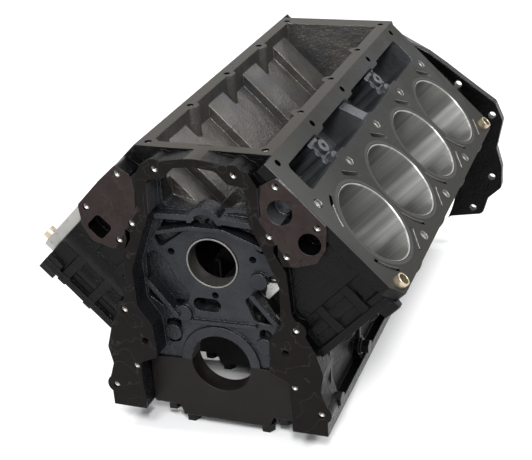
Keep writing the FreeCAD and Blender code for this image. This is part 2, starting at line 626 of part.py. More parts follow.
def face_holes():
    tools = []
    y0 = FRONT_FACE_Y - 1.0
    for x, z in COVER_BOLTS:
        for s in (1, -1):
            tools.append(cyl_y(s * x, z, COVER_BOLT_DIA, y0, FRONT_FACE_Y + 20.0))
    for x, z in COVER_EXTRA_BOLTS:
        tools.append(cyl_y(x, z, COVER_BOLT_DIA, y0, FRONT_FACE_Y + 20.0))
    for x, z in PUMP_BOLTS:
        for s in (1, -1):
            tools.append(cyl_y(s * x, z, COVER_BOLT_DIA, y0, FRONT_FACE_Y + 22.0))
    for x, z, dia in (PUMP_PORT_UPPER, PUMP_PORT_LOWER):
        tools.append(cyl_y(x, z, dia, y0, FRONT_FACE_Y + 24.0))
    x, z, size = PUMP_PORT_SQUARE
    h = size / 2.0
    port = prism_y([(-h, -h), (h, -h), (h, h), (-h, h)], y0, FRONT_FACE_Y + 18.0, 5.0)
    port.rotate(V(0, 0, 0), V(0, 1, 0), 45)
    port.translate(V(x, 0, z))
    tools.append(port)
    for x, z in REAR_BOLTS:
        for s in (1, -1):
            tools.append(cyl_y(s * x, z, COVER_BOLT_DIA, REAR_FACE_Y - 20.0, REAR_FACE_Y + 1.0))
    for x, z in BELL_BOLTS:
        for s in (1, -1):
            tools.append(cyl_y(s * x, z, BELL_BOLT_DIA, BELL_FACE_Y - 30.0, BELL_FACE_Y + 1.0))
    for s in (1, -1):
        tools.append(cyl_y(s * BELL_DOWEL[0], BELL_DOWEL[1], BELL_DOWEL_DIA, BELL_FACE_Y - BELL_DOWEL_DEPTH,
                            BELL_FACE_Y + 1.0))
    return tools


RETAINER_BOLTS = [(-47.0, 134.0), (47.0, 134.0), (0.0, 173.5), (0.0, 85.5)]


def chest_holes():
    y0 = FRONT_FACE_Y + CHEST_DEPTH
    return [cyl_y(x, z, COVER_BOLT_DIA, y0 - 1.0, y0 + 16.0) for x, z in RETAINER_BOLTS]


def valley_holes():
    return [cyl_z(x, y, COVER_BOLT_DIA, RAIL_Z - 22.0, RAIL_Z + 1.0) for x, y in valley_bolts()]


PAN_BOLT_X = 112.0


def pan_bolt_ys():
    return [y + MAIN_PITCH / 2.0 for y in MAIN_YS[:-1]] + [FRONT_FACE_Y + 12.0, REAR_FACE_Y - 12.0]


def pan_holes():
    tools = []
    for y in pan_bolt_ys():
        for s in (1, -1):
            tools.append(cyl_z(s * PAN_BOLT_X, y, PAN_BOLT_DIA, PAN_RAIL_Z - 1.0, PAN_RAIL_Z + 18.0))
    return tools


def side_holes():
    tools = []
    for y, z in MOUNT_BOLTS:
        tools += both_sides(cyl_x(y, z, MOUNT_BOLT_DIA, MOUNT_FACE_X - 30.0, MOUNT_FACE_X + 1.0))
    seat = SKIRT_OUTER + SIDE_BOSS_RISE
    for y in MAIN_YS:
        tools += both_sides(cyl_x(y, CAP_SIDE_BOLT_Z, SIDE_BOLT_DIA + HOLE_PLAY, CAP_HALF_WIDTH - 2.0, seat + 1.0))
        tools += both_sides(cyl_x(y, CAP_SIDE_BOLT_Z, SPOT_FACE_DIA, seat, PAN_RAIL_OUTER + 30.0))
        for x in (CAP_INNER_BOLT_X, CAP_OUTER_BOLT_X):
            for s in (1, -1):
                tools.append(cyl_z(s * x, y, CAP_BOLT_DIA, -1.0, CAP_BOLT_DEPTH))
    return tools


def block_casting():
    outside = crankcase() + valley_body() + timing_chest() + pump_pads() + bell_flange() + side_bosses()
    for shape in bank_body():
        outside += on_banks(shape)
    outside += end_wall(1) + end_wall(-1)
    block = fuse(outside)
    block = cut(block, valley_cavity())
    block = cut(block, chest_cavity() + rear_chest())
    block = cut(block, chest_pockets())
    block = fuse([block] + chest_ribs())
    block = cut(block, crank_bays() + [oil_hole()])
    block = cut(block, crank_and_cam_bores())
    block = cut(block, cylinders())
    block = cut(block, lifter_windows())
    block = cut(block, deck_holes())
    block = cut(block, face_holes() + chest_holes() + valley_holes() + pan_holes() + side_holes())
    block = cut(block, plug_seats())
    return block.removeSplitter()


# ---------------------------------------------------------------- separate pieces
CAP_SHOULDER_X = 57.0
CAP_SHOULDER_Z = -63.0
CAP_SIDE_THREAD = 12.0
BOLT_HEAD_DIA = 15.0
BOLT_HEAD_HEIGHT = 9.0
WASHER_DIA = 19.0
WASHER_THICK = 2.0


def main_cap(y):
    half = MAIN_WIDTH / 2.0
    outline = mirrored([(CAP_HALF_WIDTH - FIT_PLAY, 0.0), (CAP_HALF_WIDTH - FIT_PLAY, CAP_SHOULDER_Z),
                        (CAP_SHOULDER_X, CAP_SHOULDER_Z), (CAP_SHOULDER_X - 5.0, -CAP_HEIGHT)])
    cap = prism_y(outline, y - half, y + half, [0, 5, 0, 5, 5, 0, 5, 0])
    tools = [cyl_y(0, 0, MAIN_DIA, y - half - 1.0, y + half + 1.0)]
    for s in (1, -1):
        for x in (CAP_INNER_BOLT_X, CAP_OUTER_BOLT_X):
            tools.append(cyl_z(s * x, y, CAP_BOLT_DIA + HOLE_PLAY, -CAP_HEIGHT - 1.0, 1.0))
    tools += both_sides(cyl_x(y, CAP_SIDE_BOLT_Z, SIDE_BOLT_DIA, CAP_HALF_WIDTH - CAP_SIDE_THREAD,
                              CAP_HALF_WIDTH + 1.0))
    return cut(cap, tools)


def hexagon(across, height):
    r = across / math.sqrt(3.0)
    points = [(r * math.cos(math.radians(60 * i)), r * math.sin(math.radians(60 * i))) for i in range(6)]
    return prism_z(points, 0.0, height)


def bolt(shank_dia, length):
    """Flanged hexagon bolt: the head lies below the origin and the shank points up."""
    head = hexagon(BOLT_HEAD_DIA, BOLT_HEAD_HEIGHT)
    head.translate(V(0, 0, -BOLT_HEAD_HEIGHT - WASHER_THICK))
    flange = cyl_z(0, 0, WASHER_DIA, -WASHER_THICK, 0.0)
    shank = cyl_z(0, 0, shank_dia - 2.0 * FIT_PLAY, -WASHER_THICK, length)
    return fuse([head, flange, shank]).removeSplitter()


def cap_bolts(x, seat_z):
    shapes = []
    for y in MAIN_YS:
        for s in (1, -1):
            piece = bolt(CAP_BOLT_DIA, CAP_BOLT_DEPTH - 6.0 - seat_z)
            piece.translate(V(s * x, y, seat_z))
            shapes.append(piece)
    return Part.makeCompound(shapes)


def side_bolts():
    shapes = []
    seat = SKIRT_OUTER + SIDE_BOSS_RISE
    for y in MAIN_YS:
        piece = bolt(SIDE_BOLT_DIA, seat - CAP_HALF_WIDTH + CAP_SIDE_THREAD - 1.5)
        piece.rotate(V(0, 0, 0), V(0, 1, 0), -90)
        piece.translate(V(seat, y, CAP_SIDE_BOLT_Z))
        shapes += both_sides(piece)
    return Part.makeCompound(shapes)


def cam_bearing(y):
    half = MAIN_WIDTH / 2.0 - 1.5
    outer = cyl_y(0, CAM_HEIGHT, CAM_BORE_DIA - 2.0 * FIT_PLAY, y - half, y + half)
    hole = cyl_y(0, CAM_HEIGHT, CAM_BORE_DIA - 2.0 * CAM_BEARING_WALL, y - half - 1.0, y + half + 1.0)
    oil = cyl_z(0, y, 4.0, CAM_HEIGHT - CAM_BORE_DIA, CAM_HEIGHT)
    return outer.cut(hole).cut(oil)


def hollow_dowel(y, side):
    bottom = DECK_HEIGHT - HEAD_DOWEL_DEPTH
    outer = Part.makeCylinder(HEAD_DOWEL_DIA / 2.0 - FIT_PLAY, HEAD_DOWEL_DEPTH + HEAD_DOWEL_PROUD,
                              V(HEAD_BOLT_LOWER_U, y, bottom))
    inner = Part.makeCylinder(HEAD_BOLT_DIA / 2.0 + HOLE_PLAY / 2.0, 60.0, V(HEAD_BOLT_LOWER_U, y, bottom - 20.0))
    return on_bank(outer.cut(inner), side)


def bell_dowel(side):
    x, z = BELL_DOWEL
    return cyl_y(side * x, z, BELL_DOWEL_DIA - 2.0 * FIT_PLAY, BELL_FACE_Y - BELL_DOWEL_DEPTH,
                 BELL_FACE_Y + BELL_DOWEL_PROUD)


CORE_PLUG_DIA = 38.0
CORE_PLUG_DEPTH = 8.0
CORE_PLUG_WALL = 1.5
CORE_PLUG_U = 4.0
CORE_PLUG_V = 150.0
SIDE_PLUG_V = 128.0
DRAIN_PLUG_DIA = 18.0
GALLERY_PLUG_DIA = 16.0
GALLERY_PLUG_PLACE = (53.0, 110.0)
REAR_PLUG_PLACE = (-36.0, 150.0)


def cup_plug(dia):
    """Pressed cup plug: open end up, skirt on the outside."""
    cup = cyl_z(0, 0, dia - 2.0 * FIT_PLAY, 0.0, CORE_PLUG_DEPTH - 1.0)
    return cup.cut(cyl_z(0, 0, dia - 2.0 * CORE_PLUG_WALL, CORE_PLUG_WALL, CORE_PLUG_DEPTH))


def socket_plug(dia, depth):
    """Threaded plug with a hexagon socket in its outer end, which points up."""
    plug = cyl_z(0, 0, dia - 2.0 * FIT_PLAY, 0.0, depth - 1.0)
    socket = hexagon(dia * 0.45, depth)
    socket.translate(V(0, 0, depth * 0.4))
    return plug.cut(socket)


def side_place(shape, y, side):
    """Put a plug drawn along +Z into the outer wall of a barrel."""
    s = shape.copy()
    s.rotate(V(0, 0, 0), V(0, 1, 0), 90)
    s.translate(V(BARREL_RADIUS - CORE_PLUG_DEPTH, y, SIDE_PLUG_V))
    return on_bank(s, side)


def rear_place(shape, side):
    s = shape.copy()
    s.rotate(V(0, 0, 0), V(1, 0, 0), -90)
    s.translate(V(CORE_PLUG_U, BANK_REAR - END_WALL_SETBACK - CORE_PLUG_DEPTH, CORE_PLUG_V))
    return on_bank(s, side)


def plug_pieces():
    """Each plug with its node name; the same call with a plain disc cuts its seat."""
    pieces = []
    for side, name in ((1, "right"), (-1, "left")):
        for k, end in ((1, "front"), (2, "rear")):
            pieces.append(("core_plug_%s_%s" % (name, end), "core", side, k))
        pieces.append(("core_plug_%s_back" % name, "back", side, 0))
        pieces.append(("drain_plug_%s" % name, "drain", side, 3))
    pieces.append(("oil_gallery_plug_front", "gallery_front", 1, 0))
    pieces.append(("oil_gallery_plug_rear", "gallery_rear", 1, 0))
    return pieces


def place_plug(kind, side, k, maker):
    if kind == "core":
        return side_place(maker(CORE_PLUG_DIA, CORE_PLUG_DEPTH), BORE_YS[k], side)
    if kind == "drain":
        return side_place(maker(DRAIN_PLUG_DIA, CORE_PLUG_DEPTH), BORE_YS[k], side)
    if kind == "back":
        return rear_place(maker(CORE_PLUG_DIA, CORE_PLUG_DEPTH), side)
    shape = maker(GALLERY_PLUG_DIA, 12.0)
    if kind == "gallery_front":
        shape.rotate(V(0, 0, 0), V(1, 0, 0), 90)
        shape.translate(V(GALLERY_PLUG_PLACE[0], FRONT_FACE_Y + CHEST_DEPTH + 12.0, GALLERY_PLUG_PLACE[1]))
    else:
        shape.rotate(V(0, 0, 0), V(1, 0, 0), -90)
        shape.translate(V(REAR_PLUG_PLACE[0], REAR_FACE_Y - REAR_CHEST_DEPTH - 12.0, REAR_PLUG_PLACE[1]))
    return shape


def plug_seats():
    def disc(dia, depth):
        return cyl_z(0, 0, dia, 0.0, depth + 1.0)
    return [place_plug(kind, side, k, disc) for name, kind, side, k in plug_pieces()]


def main():
    nodes = {"block_casting": block_casting()}
    for i, y in enumerate(MAIN_YS):
        nodes["main_cap_%d" % (i + 1)] = main_cap(y)
        nodes["cam_bearing_%d" % (i + 1)] = cam_bearing(y)
    nodes["main_cap_inner_bolts"] = cap_bolts(CAP_INNER_BOLT_X, -CAP_HEIGHT)
    nodes["main_cap_outer_bolts"] = cap_bolts(CAP_OUTER_BOLT_X, CAP_SHOULDER_Z)
    nodes["main_cap_side_bolts"] = side_bolts()
    for side, name in ((1, "right"), (-1, "left")):
        nodes["head_dowel_%s_front" % name] = hollow_dowel(head_bolt_ys()[0], side)
        nodes["head_dowel_%s_rear" % name] = hollow_dowel(head_bolt_ys()[-1], side)
        nodes["bell_dowel_%s" % name] = bell_dowel(side)
    for name, kind, side, k in plug_pieces():
        maker = socket_plug if kind in ("drain", "gallery_front", "gallery_rear") else (lambda d, h: cup_plug(d))
        nodes[name] = place_plug(kind, side, k, maker)
    for name, shape in nodes.items():
        shape.exportStep("parts/%s.step" % name)


main()
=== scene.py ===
import json
import math
import bmesh
import bpy
from mathutils import Matrix, Vector
from mathutils.bvhtree import BVHTree


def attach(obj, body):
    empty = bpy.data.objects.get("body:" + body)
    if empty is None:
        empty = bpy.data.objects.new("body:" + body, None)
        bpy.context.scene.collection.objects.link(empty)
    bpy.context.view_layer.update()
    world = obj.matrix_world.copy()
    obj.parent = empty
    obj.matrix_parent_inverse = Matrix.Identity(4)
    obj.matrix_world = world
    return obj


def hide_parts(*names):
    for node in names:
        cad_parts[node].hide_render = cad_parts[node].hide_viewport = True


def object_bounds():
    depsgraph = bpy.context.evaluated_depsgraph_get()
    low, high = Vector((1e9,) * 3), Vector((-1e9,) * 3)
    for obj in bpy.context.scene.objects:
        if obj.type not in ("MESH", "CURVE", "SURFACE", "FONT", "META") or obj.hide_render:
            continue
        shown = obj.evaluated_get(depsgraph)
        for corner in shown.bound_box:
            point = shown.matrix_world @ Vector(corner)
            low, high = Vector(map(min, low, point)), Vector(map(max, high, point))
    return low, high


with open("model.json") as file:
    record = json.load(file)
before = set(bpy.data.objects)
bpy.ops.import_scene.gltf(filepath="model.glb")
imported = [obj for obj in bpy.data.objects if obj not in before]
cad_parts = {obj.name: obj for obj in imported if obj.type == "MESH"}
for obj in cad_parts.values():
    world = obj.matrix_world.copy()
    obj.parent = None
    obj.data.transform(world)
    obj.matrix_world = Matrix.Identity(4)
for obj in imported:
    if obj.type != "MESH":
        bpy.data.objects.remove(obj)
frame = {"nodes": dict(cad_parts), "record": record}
cad_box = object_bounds()

# A V8 engine block in metres. The crank line is the Y axis, the front end is -Y and up is +Z.
BANK = math.sqrt(0.5)
STAGGER = 0.01205
BORE_RADIUS = 0.0477
BORE_PITCH = 0.11176
BORE_PLACES = [BORE_PITCH * k for k in (-1.5, -0.5, 0.5, 1.5)]
HEAD_BOLT_PLACES = [BORE_PITCH * k for k in (-2, -1, 0, 1, 2)]
DECK_HEIGHT = 0.2347
HEAD_BOLT_ROWS = (-0.0595, 0.055)
HEAD_BOLT_RADIUS = 0.0055
RAIL_HEIGHT = 0.25488
FRONT_FACE = -0.2578
REAR_FACE = 0.262
BELL_FACE = 0.2872
MOUNT_FACE = 0.146
BAY_RADIUS = 0.0985
BAY_END = 0.252
BEARING_REACH = 0.04
SKIRT_INSIDE = 0.1045
SKIRT_TOP = 0.012
BORE_FOOT = 0.0905
BORE_EDGE = 0.0045
VALLEY_HALF_WIDTH = 0.063
VALLEY_FLOOR = 0.13
VALLEY_FRONT = -0.218
VALLEY_BACK = 0.2185
WINDOW_OUTER, WINDOW_INNER = -0.108, -0.071
WINDOW_FLOOR = 0.182
CHEST_FRONT, CHEST_BACK = -0.2576, -0.215
CHEST_EDGE = [(0.0, 0.2545), (0.028, 0.25), (0.055, 0.2445), (0.0665, 0.229), (0.0665, 0.195),
              (0.0795, 0.183), (0.0795, 0.157), (0.0915, 0.136), (0.0945, 0.088), (0.084, 0.062),
              (0.075, 0.045), (0.088, 0.02), (0.088, -0.07), (0.0, -0.07)]
FLUSH = 0.0006                  # how near a face lies to the milled plane that it belongs to
SQUARE = 0.99                   # and how nearly it looks along that plane's axis
JOIN = 0.00002                  # vertices of the frame's mesh that are nearer than this are one
STILL_FLAT = 0.9998             # how little a flat face may turn when its edges are rounded


class Mix:
    """A value inside a material, so that its sums read as ordinary arithmetic."""

    def __init__(self, paint, socket):
        self.paint = paint
        self.socket = socket

    def __add__(self, other):
        return self.paint.maths("ADD", self, other)

    def __radd__(self, other):
        return self.paint.maths("ADD", other, self)

    def __sub__(self, other):
        return self.paint.maths("SUBTRACT", self, other)

    def __rsub__(self, other):
        return self.paint.maths("SUBTRACT", other, self)

    def __mul__(self, other):
        return self.paint.maths("MULTIPLY", self, other)

    def __rmul__(self, other):
        return self.paint.maths("MULTIPLY", other, self)

    def __truediv__(self, other):
        return self.paint.maths("DIVIDE", self, other)

    def __abs__(self):
        return self.paint.maths("ABSOLUTE", self)


class Paint:
    """One procedural finish, built on Object coordinates in metres."""

    def __init__(self, name, coat=0.0, coat_roughness=0.1, specular=0.5):
        self.material = bpy.data.materials.new(name)
        self.material.use_nodes = True
        self.tree = self.material.node_tree
        self.tree.nodes.clear()
        output = self.tree.nodes.new("ShaderNodeOutputMaterial")
        self.shader = self.tree.nodes.new("ShaderNodeBsdfPrincipled")
        self.tree.links.new(self.shader.outputs[0], output.inputs["Surface"])
        self.shader.inputs["Coat Weight"].default_value = coat
        self.shader.inputs["Coat Roughness"].default_value = coat_roughness
        self.shader.inputs["Specular IOR Level"].default_value = specular
        self.where = self.node("ShaderNodeTexCoord", out="Object")
        parts = self.node("ShaderNodeSeparateXYZ", out=None, Vector=self.where)
        self.x, self.y, self.z = (Mix(self, parts.outputs[k]) for k in range(3))

    def node(self, kind, out=0, settings=None, **inputs):
        made = self.tree.nodes.new(kind)
        for name, value in (settings or {}).items():
            setattr(made, name, value)
        for name, value in inputs.items():
            key = int(name[1:]) if name[0] == "_" else name.replace("_", " ")
            self.feed(made.inputs[key], value)
        return made if out is None else Mix(self, made.outputs[out])

    def feed(self, socket, value):
        if isinstance(value, Mix):
            self.tree.links.new(value.socket, socket)
        else:
            socket.default_value = value

    def maths(self, how, *values):
        fed = {"_%d" % k: value for k, value in enumerate(values)}
        return self.node("ShaderNodeMath", settings={"operation": how}, **fed)

    def step(self, value, low, high):
        """0 below low and 1 above high, with a smooth turn between them."""
        settings = {"interpolation_type": "SMOOTHSTEP"}
        if low < high:
            return self.node("ShaderNodeMapRange", settings=settings, Value=value,
                             From_Min=low, From_Max=high)
        return 1 - self.node("ShaderNodeMapRange", settings=settings, Value=value,
                             From_Min=high, From_Max=low)

    def noise(self, scale, detail=4.0, rough=0.55, stretch=None):
        where = self.where
        if stretch is not None:
            where = self.node("ShaderNodeMapping", Vector=where, Scale=stretch)
        return self.node("ShaderNodeTexNoise", out="Fac", Vector=where, Scale=scale,
                         Detail=detail, Roughness=rough)

    def blend(self, amount, low, high):
        """Colour low where the amount is 0 and colour high where it is 1."""
        low, high = (c if isinstance(c, Mix) else (*c, 1.0) for c in (low, high))
        return self.node("ShaderNodeMix", out=2, settings={"data_type": "RGBA"},
                         _0=amount, _6=low, _7=high)

    def finish(self, colour, roughness, metallic=0.0, height=None, depth=0.0005, strength=1.0):
        self.feed(self.shader.inputs["Base Color"], colour)
        self.feed(self.shader.inputs["Roughness"], roughness)
        self.feed(self.shader.inputs["Metallic"], metallic)
        if height is not None:
            bump = self.node("ShaderNodeBump", Height=height, Distance=depth, Strength=strength)
            self.feed(self.shader.inputs["Normal"], bump)
        return self.material

    def bank_place(self):
        """Across the deck from the cylinder line, up the cylinder, and along the bank."""
        side = self.maths("SIGN", self.x)
        across = (abs(self.x) - self.z) * BANK
        up = (abs(self.x) + self.z) * BANK
        along = self.y + side * STAGGER
        return across, up, along

    def nearest(self, along, places, pitch):
        """Distance along the bank to the nearest of a row of evenly spaced places."""
        moved = (along - places[0]) / pitch
        last = float(len(places) - 1)
        index = self.node("ShaderNodeClamp", Value=self.maths("ROUND", moved), Min=0.0, Max=last)
        return (moved - index) * pitch


def outside_paint():
    """Black paint over sand-cast iron, with a little dust."""
    p = Paint("black_gloss_paint", coat=0.03, coat_roughness=0.04, specular=0.1)
    sand = p.noise(420.0, 3.0, 0.6)
    runs = p.noise(38.0, 3.0, 0.5)
    dust = p.step(p.noise(24.0, 6.0, 0.65), 0.56, 0.74)
    colour = p.blend(dust * 0.5, (0.002, 0.002, 0.0023), (0.007, 0.0065, 0.006))
    roughness = 0.1 + p.noise(60.0, 4.0) * 0.1 + dust * 0.12
    height = sand * 0.9 + p.noise(170.0, 2.0) * 0.5 + runs * 1.6
    return p.finish(colour, roughness, 0.0, height, 0.0014, 0.8)


def deck_face():
    """The milled deck: gasket rings, stains, pits, painted shade low down and a painted sheen at
    the front.
    """
    p = Paint("deck_milled_iron", specular=0.2)
    across, up, along = p.bank_place()
    off = p.nearest(along, BORE_PLACES, BORE_PITCH)
    radius = p.maths("SQRT", across * across + off * off)
    wobble = (p.noise(90.0, 3.0) - 0.5) * 0.0022
    ring_place = radius + wobble
    ring = p.step(ring_place, BORE_RADIUS + 0.0026, BORE_RADIUS + 0.0036)
    ring = ring * p.step(ring_place, BORE_RADIUS + 0.0072, BORE_RADIUS + 0.0062)
    outline = p.step(ring_place, BORE_RADIUS + 0.0066, BORE_RADIUS + 0.0074)
    outline = outline * p.step(ring_place, BORE_RADIUS + 0.0094, BORE_RADIUS + 0.0082)
    # Painted shade: low is 1 towards the deck's lower outer edge, and it pushes the stains darker
    # there.
    low = p.step(across, -0.06, 0.07)
    # Painted sheen: this mask is 1 towards the front end of the bank, where the stains thin out
    # and the colour is lighter.
    front_sheen = p.step(along, -0.12, -0.26)
    stain_and_shade = p.step(p.noise(17.0, 7.0, 0.62) + low * 0.2 - front_sheen * 0.16, 0.46, 0.62)
    milled = p.noise(330.0, 2.0, 0.5, (1.0, 0.12, 1.0))
    base = p.blend(p.noise(45.0, 6.0, 0.6), (0.008, 0.008, 0.0076), (0.032, 0.033, 0.031))
    base = p.blend(stain_and_shade * 0.8, base, (0.022, 0.021, 0.018))
    base = p.blend(outline * 0.7, base, (0.016, 0.015, 0.014))
    # Painted reflection: the colour is lighter towards the front, away from the lower edge.
    base = p.blend(front_sheen * (1 - low) * 0.4, base, (0.1, 0.102, 0.094))
    base = p.blend(ring * 0.35, base, (0.1, 0.1, 0.094))
    pits = p.step(p.noise(520.0, 2.0, 0.5), 0.66, 0.74)
    base = p.blend(pits * 0.55, base, (0.025, 0.023, 0.02))
    roughness = 0.36 + stain_and_shade * 0.16 + milled * 0.1
    metallic = 0.72 - stain_and_shade * 0.35
    return p.finish(base, roughness, metallic, milled * 0.5 - pits * 0.8, 0.0002, 0.5)


def honed_bore():
    """A cylinder wall, with painted reflection bands down its length, painted shade on one side
    and the crossed lines of its honing.
    """
    p = Paint("honed_bore_steel")
    across, up, along = p.bank_place()
    off = p.nearest(along, BORE_PLACES, BORE_PITCH)
    turn = p.maths("ARCTAN2", off, across)
    ring = p.node("ShaderNodeCombineXYZ", X=p.maths("COSINE", turn), Y=p.maths("SINE", turn),
                  Z=up * 0.35)
    streak = p.node("ShaderNodeTexNoise", out="Fac", Vector=ring, Scale=5.5, Detail=5.0,
                    Roughness=0.62)
    fine = p.node("ShaderNodeTexNoise", out="Fac", Vector=ring, Scale=42.0, Detail=2.0)
    right, left = turn * 60.0 + up * 12000.0, turn * 60.0 - up * 12000.0
    lay = p.maths("SINE", right) + p.maths("SINE", left)
    # Painted reflection: light and dark bands down the bore stand in for the lamps' reflected
    # bands.
    reflection_bands = p.step(streak, 0.42, 0.62)
    base = p.blend(reflection_bands, (0.5, 0.5, 0.47), (0.8, 0.81, 0.82))
    base = p.blend(p.step(fine, 0.58, 0.7) * 0.3, base, (0.36, 0.35, 0.32))
    # Painted shade: each bore is darker towards its rearward side.
    base = p.blend(p.step(off, -0.002, 0.03) * 0.6, base, (0.16, 0.16, 0.145))
    roughness = 0.24 + streak * 0.12
    return p.finish(base, roughness, 0.95, lay, 0.000025, 1.0)


def machined_iron(name, dark, light, rough, metal=0.6, rust=0.0):
    """Cut metal with fine tool lines and a few dark spots."""
    p = Paint(name, specular=0.25)
    cloud = p.noise(50.0, 6.0, 0.62)
    base = p.blend(cloud, dark, light)
    spots = p.step(p.noise(160.0, 5.0, 0.65), 0.56, 0.66)
    base = p.blend(spots * (0.35 + rust), base, (0.06 + rust * 0.05, 0.04, 0.028))
    lines = p.noise(600.0, 2.0, 0.5, (0.1, 1.0, 1.0))
    roughness = rough + cloud * 0.14 + spots * 0.12
    return p.finish(base, roughness, metal, lines * 0.4 - spots * 0.5, 0.0002, 0.5)


def front_face():
    """The milled front: the cover's sealing rail is dark, and the pump pads are rusty."""
    p = Paint("front_milled_iron", specular=0.12)
    x = abs(p.x)
    pad = p.step(x, 0.0672, 0.0682) * p.step(p.z, 0.1416, 0.1426)
    pad = pad * p.step(x + (p.z - 0.19) * 0.673, 0.0686, 0.0694)
    low = 1 - p.step(p.z, 0.1685, 0.1695)
    pad = pad * (1 - low * (1 - p.step(x, 0.0828, 0.0836)))
    cloud = p.noise(55.0, 6.0, 0.62)
    rail = p.blend(cloud, (0.003, 0.0024, 0.0022), (0.012, 0.0095, 0.009))
    rust = p.blend(cloud, (0.016, 0.0112, 0.0105), (0.046, 0.035, 0.033))
    spots = p.step(p.noise(150.0, 5.0, 0.65), 0.57, 0.68)
    base = p.blend(spots * 0.5, p.blend(pad, rail, rust), (0.012, 0.008, 0.007))
    print_line = p.step(abs(p.noise(38.0, 2.0, 0.5) - 0.5), 0.012, 0.004)
    base = p.blend(print_line * 0.3, base, (0.06, 0.054, 0.05))
    lines = p.noise(600.0, 2.0, 0.5, (0.1, 1.0, 1.0))
    roughness = 0.38 + cloud * 0.16
    return p.finish(base, roughness, 0.45, lines * 0.4 - spots * 0.5, 0.0002, 0.5)


def raw_cast(name, dark, light, rough, metal, grain, tint=None):
    """Iron as it was cast, with sand grain and lumps."""
    p = Paint(name, specular=0.25)
    cloud = p.noise(32.0, 6.0, 0.62)
    base = p.blend(cloud, dark, light)
    if tint is not None:
        base = p.blend(p.step(p.noise(14.0, 5.0, 0.6), 0.48, 0.66) * 0.6, base, tint)
    sand = p.noise(380.0, 4.0, 0.6)
    lumps = p.noise(95.0, 3.0, 0.5)
    roughness = rough + sand * 0.16
    return p.finish(base, roughness, metal, sand * 0.7 + lumps, grain, 0.8)


PAINT = outside_paint()
DECK = deck_face()
BORE = honed_bore()
RAIL = machined_iron("rail_milled_iron", (0.016, 0.0135, 0.0105), (0.045, 0.0385, 0.03),
                     0.34, 0.6, 0.03)
FRONT = front_face()
CHEST = raw_cast("chest_cast_iron", (0.009, 0.0095, 0.011), (0.05, 0.0515, 0.057),
                 0.2, 0.7, 0.0012)
VALLEY = raw_cast("valley_cast_iron", (0.016, 0.015, 0.0135), (0.19, 0.18, 0.167),
                  0.22, 0.7, 0.0012, (0.08, 0.085, 0.097))
WINDOW = raw_cast("guide_cast_iron", (0.03, 0.031, 0.034), (0.16, 0.165, 0.175),
                  0.26, 0.6, 0.0008)
BAY = raw_cast("crankcase_cast_iron", (0.008, 0.007, 0.0065), (0.028, 0.026, 0.024),
               0.5, 0.3, 0.0008)
BEARING = machined_iron("bearing_bore_iron", (0.07, 0.067, 0.064), (0.15, 0.147, 0.14), 0.3, 0.8)
MILLED = machined_iron("milled_iron", (0.03, 0.0285, 0.026), (0.08, 0.077, 0.072), 0.38, 0.65)
THREAD = machined_iron("drilled_iron", (0.2, 0.195, 0.185), (0.5, 0.49, 0.46), 0.3, 0.8)
CAP = raw_cast("cap_cast_iron", (0.003, 0.0022, 0.0018), (0.011, 0.0085, 0.0075),
               0.42, 0.3, 0.0006)
BOLT = machined_iron("bolt_steel", (0.008, 0.008, 0.009), (0.03, 0.0295, 0.028), 0.3, 0.75)
CAM_LINING = machined_iron("cam_lining_metal", (0.12, 0.118, 0.11), (0.26, 0.25, 0.235),
                           0.3, 0.85)
BRASS = machined_iron("plug_brass", (0.38, 0.26, 0.09), (0.62, 0.45, 0.18), 0.3, 0.9)
DOWEL = machined_iron("dowel_steel", (0.4, 0.33, 0.22), (0.66, 0.58, 0.44), 0.24, 0.9)
PLUG = machined_iron("plug_steel", (0.06, 0.057, 0.05), (0.16, 0.155, 0.14), 0.35, 0.75)

BLOCK_FINISHES = [PAINT, DECK, BORE, RAIL, FRONT, CHEST, VALLEY, WINDOW, BAY, BEARING, MILLED,
                  THREAD]


def within(outline, x, z):
    """Whether a place, mirrored to +X, lies inside an outline of (x, z) corners."""
    inside = False
    for (x0, z0), (x1, z1) in zip(outline, outline[1:] + outline[:1]):
        if (z0 > z) != (z1 > z) and abs(x) < (x1 - x0) * (z - z0) / (z1 - z0) + x0:
            inside = not inside
    return inside


def block_finish(c, n):
    """The finish of one face of the casting, from where it is and which way it looks."""
    side = 1 if c.x >= 0 else -1
    across = (side * c.x - c.z) * BANK
    up = (side * c.x + c.z) * BANK
    along = c.y + side * STAGGER
    n_up = (side * n.x + n.z) * BANK
    radius = math.hypot(c.x, c.z)
    off = min(abs(along - place) for place in BORE_PLACES)
    if n_up > SQUARE and abs(up - DECK_HEIGHT) < FLUSH:
        return DECK
    if up > BORE_FOOT and math.hypot(across, off) < BORE_RADIUS + BORE_EDGE:
        return BORE
    if n.z > SQUARE and abs(c.z - RAIL_HEIGHT) < FLUSH:
        return RAIL
    if (abs(c.x) < VALLEY_HALF_WIDTH and c.z > VALLEY_FLOOR
            and VALLEY_FRONT < c.y < VALLEY_BACK):
        return VALLEY
    if n.y < -SQUARE and abs(c.y - FRONT_FACE) < FLUSH:
        return FRONT
    if WINDOW_OUTER < across < WINDOW_INNER and WINDOW_FLOOR < up < DECK_HEIGHT - FLUSH / 2:
        return WINDOW
    if radius < BEARING_REACH and abs(n.y) < 0.3:
        return BEARING
    if CHEST_FRONT < c.y < CHEST_BACK and within(CHEST_EDGE, c.x, c.z):
        return CHEST
    in_skirts = abs(c.x) < SKIRT_INSIDE and c.z < SKIRT_TOP
    if abs(c.y) < BAY_END and (radius < BAY_RADIUS or in_skirts):
        return BAY
    ends = min(abs(c.y - REAR_FACE), abs(c.y - BELL_FACE)) < FLUSH
    if (abs(n.y) > SQUARE and ends) or (abs(n.x) > SQUARE and abs(abs(c.x) - MOUNT_FACE) < FLUSH):
        return MILLED
    if n.z < -SQUARE and c.z < -0.0795 and abs(c.x) > 0.1:
        return MILLED
    hole_top = up > 0.19 and n_up < 0.5 and abs(across) < 0.075
    nearest_bolt = min(abs(along - place) for place in HEAD_BOLT_PLACES)
    if hole_top and nearest_bolt < 0.02 and abs(c.y) < 0.232:
        return THREAD
    return PAINT


